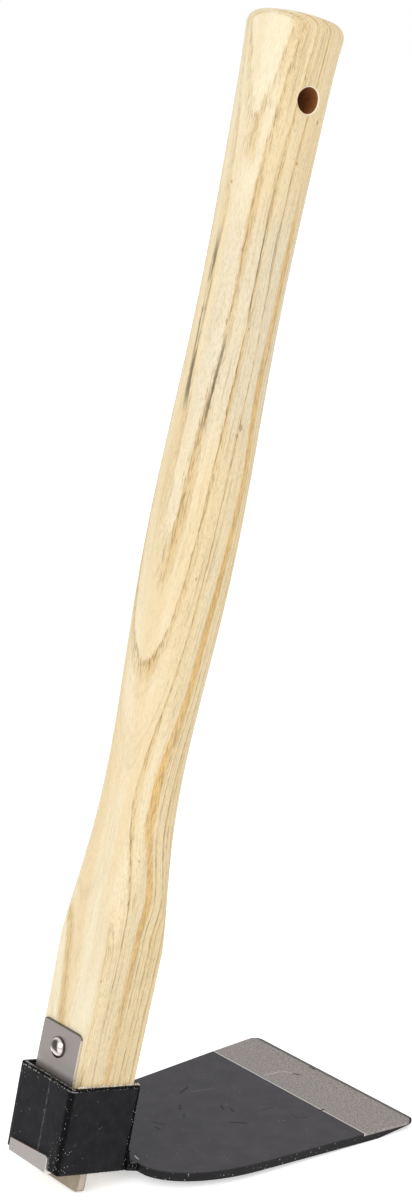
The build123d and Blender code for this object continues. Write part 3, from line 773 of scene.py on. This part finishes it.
# Where the weld's lumps sit at the eye's front corners: depth, width and height, and radius.
WELD_LUMPS = (
    (14.2, 15.0, 7.0, 0.6), (14.3, 15.1, 5.8, 0.7), (14.4, 15.2, 4.6, 0.8), (14.6, 15.3, 3.4, 0.9),
    (14.9, 15.5, 2.3, 1.0), (15.7, 15.8, 1.7, 0.9), (16.6, 16.0, 1.8, 0.8), (17.5, 16.1, 2.0, 0.7),
    (18.4, 16.2, 2.2, 0.5),
)
WELD_VOXEL = 0.2
WELD_SMOOTHING = 4  # turns
WELD_ROUGHNESS = (0.12, 0.9, 5.0)  # height, size and seed
FIBRE_DEPTHS = (-13.4, 13.6)  # where the fringe starts and ends
FIBRE_STEP = 0.42
FIBRE_FOOT = EYE_HEIGHT - 0.3
FIBRE_INSIDE = -13.6  # across, where the inner side of a fibre's foot lies
FIBRE_OUTSIDE = -14.6  # and its outer side
FIBRE_TIP = (-14.5, 0.4)  # across, where a fibre's tip is, and how much further out it may be
FIBRE_TALL = (0.5, 0.9)  # least height above the rim, and how much more it may be
FIBRE_HALF = (0.25, 0.3)  # least half width of the foot, and how much more it may be
FIBRE_SWAY = 0.4  # how far a tip may lie from its foot along the rim
FIBRE_SEED = 7


def copy_of(node, name):
    """A new object with its own welded copy of a CAD node's mesh."""
    mesh = frame["nodes"][node].data.copy()
    mesh.name = name
    piece = bpy.data.objects.new(name, mesh)
    bpy.context.scene.collection.objects.link(piece)
    work = bmesh.new()
    work.from_mesh(mesh)
    bmesh.ops.remove_doubles(work, verts=work.verts, dist=WELD_TOLERANCE * MM)
    work.to_mesh(mesh)
    work.free()
    return piece


def apply_modifiers(piece):
    """Keeps the mesh that the piece's modifiers make, and drops the modifiers."""
    graph = bpy.context.evaluated_depsgraph_get()
    shaped = bpy.data.meshes.new_from_object(piece.evaluated_get(graph))
    piece.modifiers.clear()
    piece.data = shaped


def remesh(piece, voxel, smoothing):
    """Even small faces with softened edges, as thick paint leaves them."""
    grid = piece.modifiers.new("grid", "REMESH")
    grid.mode = "VOXEL"
    grid.voxel_size = voxel * MM
    ease = piece.modifiers.new("ease", "SMOOTH")
    ease.iterations = smoothing
    ease.factor = 0.5
    apply_modifiers(piece)


def push_out(piece, height_at):
    """Moves each vertex along its normal by a height in mm that depends on its place on the head."""
    inverse = head.inverted()
    normals = [vertex.normal.copy() for vertex in piece.data.vertices]
    for vertex, normal in zip(piece.data.vertices, normals):
        place = inverse @ vertex.co / MM
        vertex.co += normal * height_at(place) * MM


def smooth(piece):
    for polygon in piece.data.polygons:
        polygon.use_smooth = True


def lumps(place, size, seed):
    """Noise between about -1 and 1 at the given size in mm."""
    return noise.noise(place / size + Vector((seed, 2.3 * seed, -seed)))


def lacquer_height(place):
    """How far the lacquer's waves stand out at a place, and its beads at the rim and near corner."""
    wave = sum(height * lumps(place, size, seed) for height, size, seed in LACQUER_WAVES)
    at_rim = max(0.0, 1.0 - abs(place.z - EYE_HEIGHT) / RIM_REACH)
    from_corner = math.hypot(place.x - NEAR_CORNER[0], place.y - NEAR_CORNER[1])
    at_corner = max(0.0, 1.0 - from_corner / CORNER_REACH)
    beads = max(0.0, lumps(place, BEAD_SIZE, BEAD_SEED) - 0.1)
    return wave + (RIM_BEAD * at_rim + CORNER_BEAD * at_corner) * beads


def make_eye_socket(finish):
    """The folded eye under thick lacquer, with soft wavy edges and its narrow seam filled."""
    piece = copy_of("eye_socket", "eye_socket_shell")
    remesh(piece, SHELL_VOXEL, SHELL_SMOOTHING)
    push_out(piece, lacquer_height)
    smooth(piece)
    piece.data.materials.clear()
    piece.data.materials.append(finish)
    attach(piece, "root")
    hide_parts("eye_socket")


def add_piece(name, work, finish):
    """Turns a bmesh made in head millimetres into a smooth piece that rides with the hoe."""
    for vertex in work.verts:
        vertex.co = head @ (vertex.co * MM)
    mesh = bpy.data.meshes.new(name)
    work.to_mesh(mesh)
    work.free()
    piece = bpy.data.objects.new(name, mesh)
    bpy.context.scene.collection.objects.link(piece)
    mesh.materials.append(finish)
    smooth(piece)
    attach(piece, "root")
    return piece


def weld_height(place):
    """How far the weld's lumps stand out at a place."""
    height, size, seed = WELD_ROUGHNESS
    return height * lumps(place, size, seed)


def make_weld_ends(finish):
    """A lumpy bead of weld down each of the eye's front corners and out along the blade's rear corner."""
    work = bmesh.new()
    for side in (-1, 1):
        for x, y, z, radius in WELD_LUMPS:
            place = Matrix.Translation((x, side * y, z))
            bmesh.ops.create_icosphere(work, subdivisions=3, radius=radius, matrix=place)
    piece = add_piece("weld_ends", work, finish)
    remesh(piece, WELD_VOXEL, WELD_SMOOTHING)
    push_out(piece, weld_height)
    smooth(piece)


def make_torn_fibres(finish):
    """A ragged fringe of pale wood fibres that the eye's rim shaved up on the handle's side."""
    work = bmesh.new()
    rng = np.random.default_rng(FIBRE_SEED)
    for x in np.arange(*FIBRE_DEPTHS, FIBRE_STEP):
        tall = FIBRE_TALL[0] + FIBRE_TALL[1] * rng.random()
        half = FIBRE_HALF[0] + FIBRE_HALF[1] * rng.random()
        sway = rng.uniform(-FIBRE_SWAY, FIBRE_SWAY)
        tip = (x + sway, FIBRE_TIP[0] - FIBRE_TIP[1] * rng.random(), EYE_HEIGHT + tall)
        foot = [
            (x - half, FIBRE_INSIDE, FIBRE_FOOT),
            (x + half, FIBRE_INSIDE, FIBRE_FOOT),
            (x, FIBRE_OUTSIDE, FIBRE_FOOT),
        ]
        corners = [work.verts.new(place) for place in foot + [tip]]
        for triple in ((0, 2, 1), (0, 1, 3), (1, 2, 3), (2, 0, 3)):
            work.faces.new([corners[i] for i in triple])
    add_piece("torn_fibres", work, finish)


# ---------------------------------------------------------------- floor, light and camera
FLOOR_HALF = 60.0  # m
FLOOR_GAP = 0.0001  # m below the hoe's lowest point
FLOOR_WHITE = (0.92, 0.92, 0.92, 1)
FLOOR_GLOW = 0.5
WORLD_STRENGTH = 0.77
# Each lamp's place and the side of its square in m, and its power in watts.
LAMPS = {
    "key": ((-1.4, -0.35, 0.9), 0.9, 7.4),
    "fill": ((0.3, -1.5, 0.6), 1.0, 3.6),
}
CAMERA_AZIMUTH = math.radians(-39.96)
CAMERA_ELEVATION = math.radians(13.80)
CAMERA_ROLL = math.radians(1.61)
CAMERA_DISTANCE = 0.7934  # m
CAMERA_AIM = (0.8, -0.2, 1.5)  # from the middle of the hoe's box
SENSOR_WIDTH = 36.0
FOCAL_LENGTH = 68.39
CLIP_START = 0.05  # m
box_middle = (cad_box[0] + cad_box[1]) / 2


def background_rays(tree):
    """1 for the rays that show the background: those from the camera, off a gloss and through a glass."""
    path = tree.nodes.new("ShaderNodeLightPath")
    seen = path.outputs["Is Camera Ray"]
    for kind in ("Is Glossy Ray", "Is Transmission Ray"):
        either = tree.nodes.new("ShaderNodeMath")
        either.operation = "MAXIMUM"
        tree.links.new(seen, either.inputs[0])
        tree.links.new(path.outputs[kind], either.inputs[1])
        seen = either.outputs[0]
    return seen


def floor_white():
    """A matt white that the camera and reflections see lifted towards full white."""
    shade = Shade("floor_white", Roughness=1.0, Specular_IOR_Level=0.0)
    shade.shader.inputs["Emission Color"].default_value = (1, 1, 1, 1)
    glow = shade.times(background_rays(shade.tree), FLOOR_GLOW)
    return shade.finish(Base_Color=FLOOR_WHITE, Emission_Strength=glow)


def make_floor():
    mesh = bpy.data.meshes.new("floor")
    corners = [(x, y, 0) for x, y in ((-1, -1), (1, -1), (1, 1), (-1, 1))]
    mesh.from_pydata([Vector(corner) * FLOOR_HALF for corner in corners], [], [(0, 1, 2, 3)])
    floor = bpy.data.objects.new("floor", mesh)
    bpy.context.scene.collection.objects.link(floor)
    floor.location.z = cad_box[0].z - FLOOR_GAP
    mesh.materials.append(floor_white())


def make_world():
    """Soft light from all round, in front of a white background."""
    world = bpy.data.worlds.new("studio")
    bpy.context.scene.world = world
    world.use_nodes = True
    tree = world.node_tree
    background = tree.nodes["Background"]
    level = tree.nodes.new("ShaderNodeMapRange")
    level.inputs["To Min"].default_value = WORLD_STRENGTH
    level.inputs["To Max"].default_value = 1.0
    tree.links.new(background_rays(tree), level.inputs["Value"])
    tree.links.new(level.outputs[0], background.inputs["Strength"])
    background.inputs["Color"].default_value = (1, 1, 1, 1)


def make_lamp(name, place, side, power):
    """A square lamp that faces the middle of the hoe."""
    lamp = bpy.data.lights.new(name, "AREA")
    lamp.shape = "SQUARE"
    lamp.size = side
    lamp.energy = power
    holder = bpy.data.objects.new(name, lamp)
    bpy.context.scene.collection.objects.link(holder)
    holder.location = place
    holder.rotation_mode = "QUATERNION"
    holder.rotation_quaternion = (box_middle - Vector(place)).to_track_quat("-Z", "Y")


def make_camera():
    """The camera where the photograph was taken from."""
    flat = math.cos(CAMERA_ELEVATION)
    sine, cosine = math.sin(CAMERA_AZIMUTH), math.cos(CAMERA_AZIMUTH)
    back = Vector((sine * flat, -cosine * flat, math.sin(CAMERA_ELEVATION)))
    lens = bpy.data.cameras.new("camera")
    lens.sensor_width = SENSOR_WIDTH
    lens.lens = FOCAL_LENGTH
    lens.clip_start = CLIP_START
    camera = bpy.data.objects.new("camera", lens)
    bpy.context.scene.collection.objects.link(camera)
    camera.location = box_middle + Vector(CAMERA_AIM) * MM + back * CAMERA_DISTANCE
    camera.rotation_mode = "QUATERNION"
    camera.rotation_quaternion = (-back).to_track_quat("-Z", "Y") @ Quaternion((0, 0, 1), CAMERA_ROLL)
    bpy.context.scene.camera = camera


# ---------------------------------------------------------------- the scene
finishes = make_finishes()
dress_cad_nodes(finishes)
make_eye_socket(finishes["black_lacquer"])
make_weld_ends(finishes["black_lacquer"])
make_torn_fibres(torn_fibre())
make_floor()
make_world()
for lamp_name, (lamp_place, lamp_side, lamp_power) in LAMPS.items():
    make_lamp(lamp_name, lamp_place, lamp_side, lamp_power)
make_camera()
bpy.context.scene.view_settings.view_transform = "Standard"
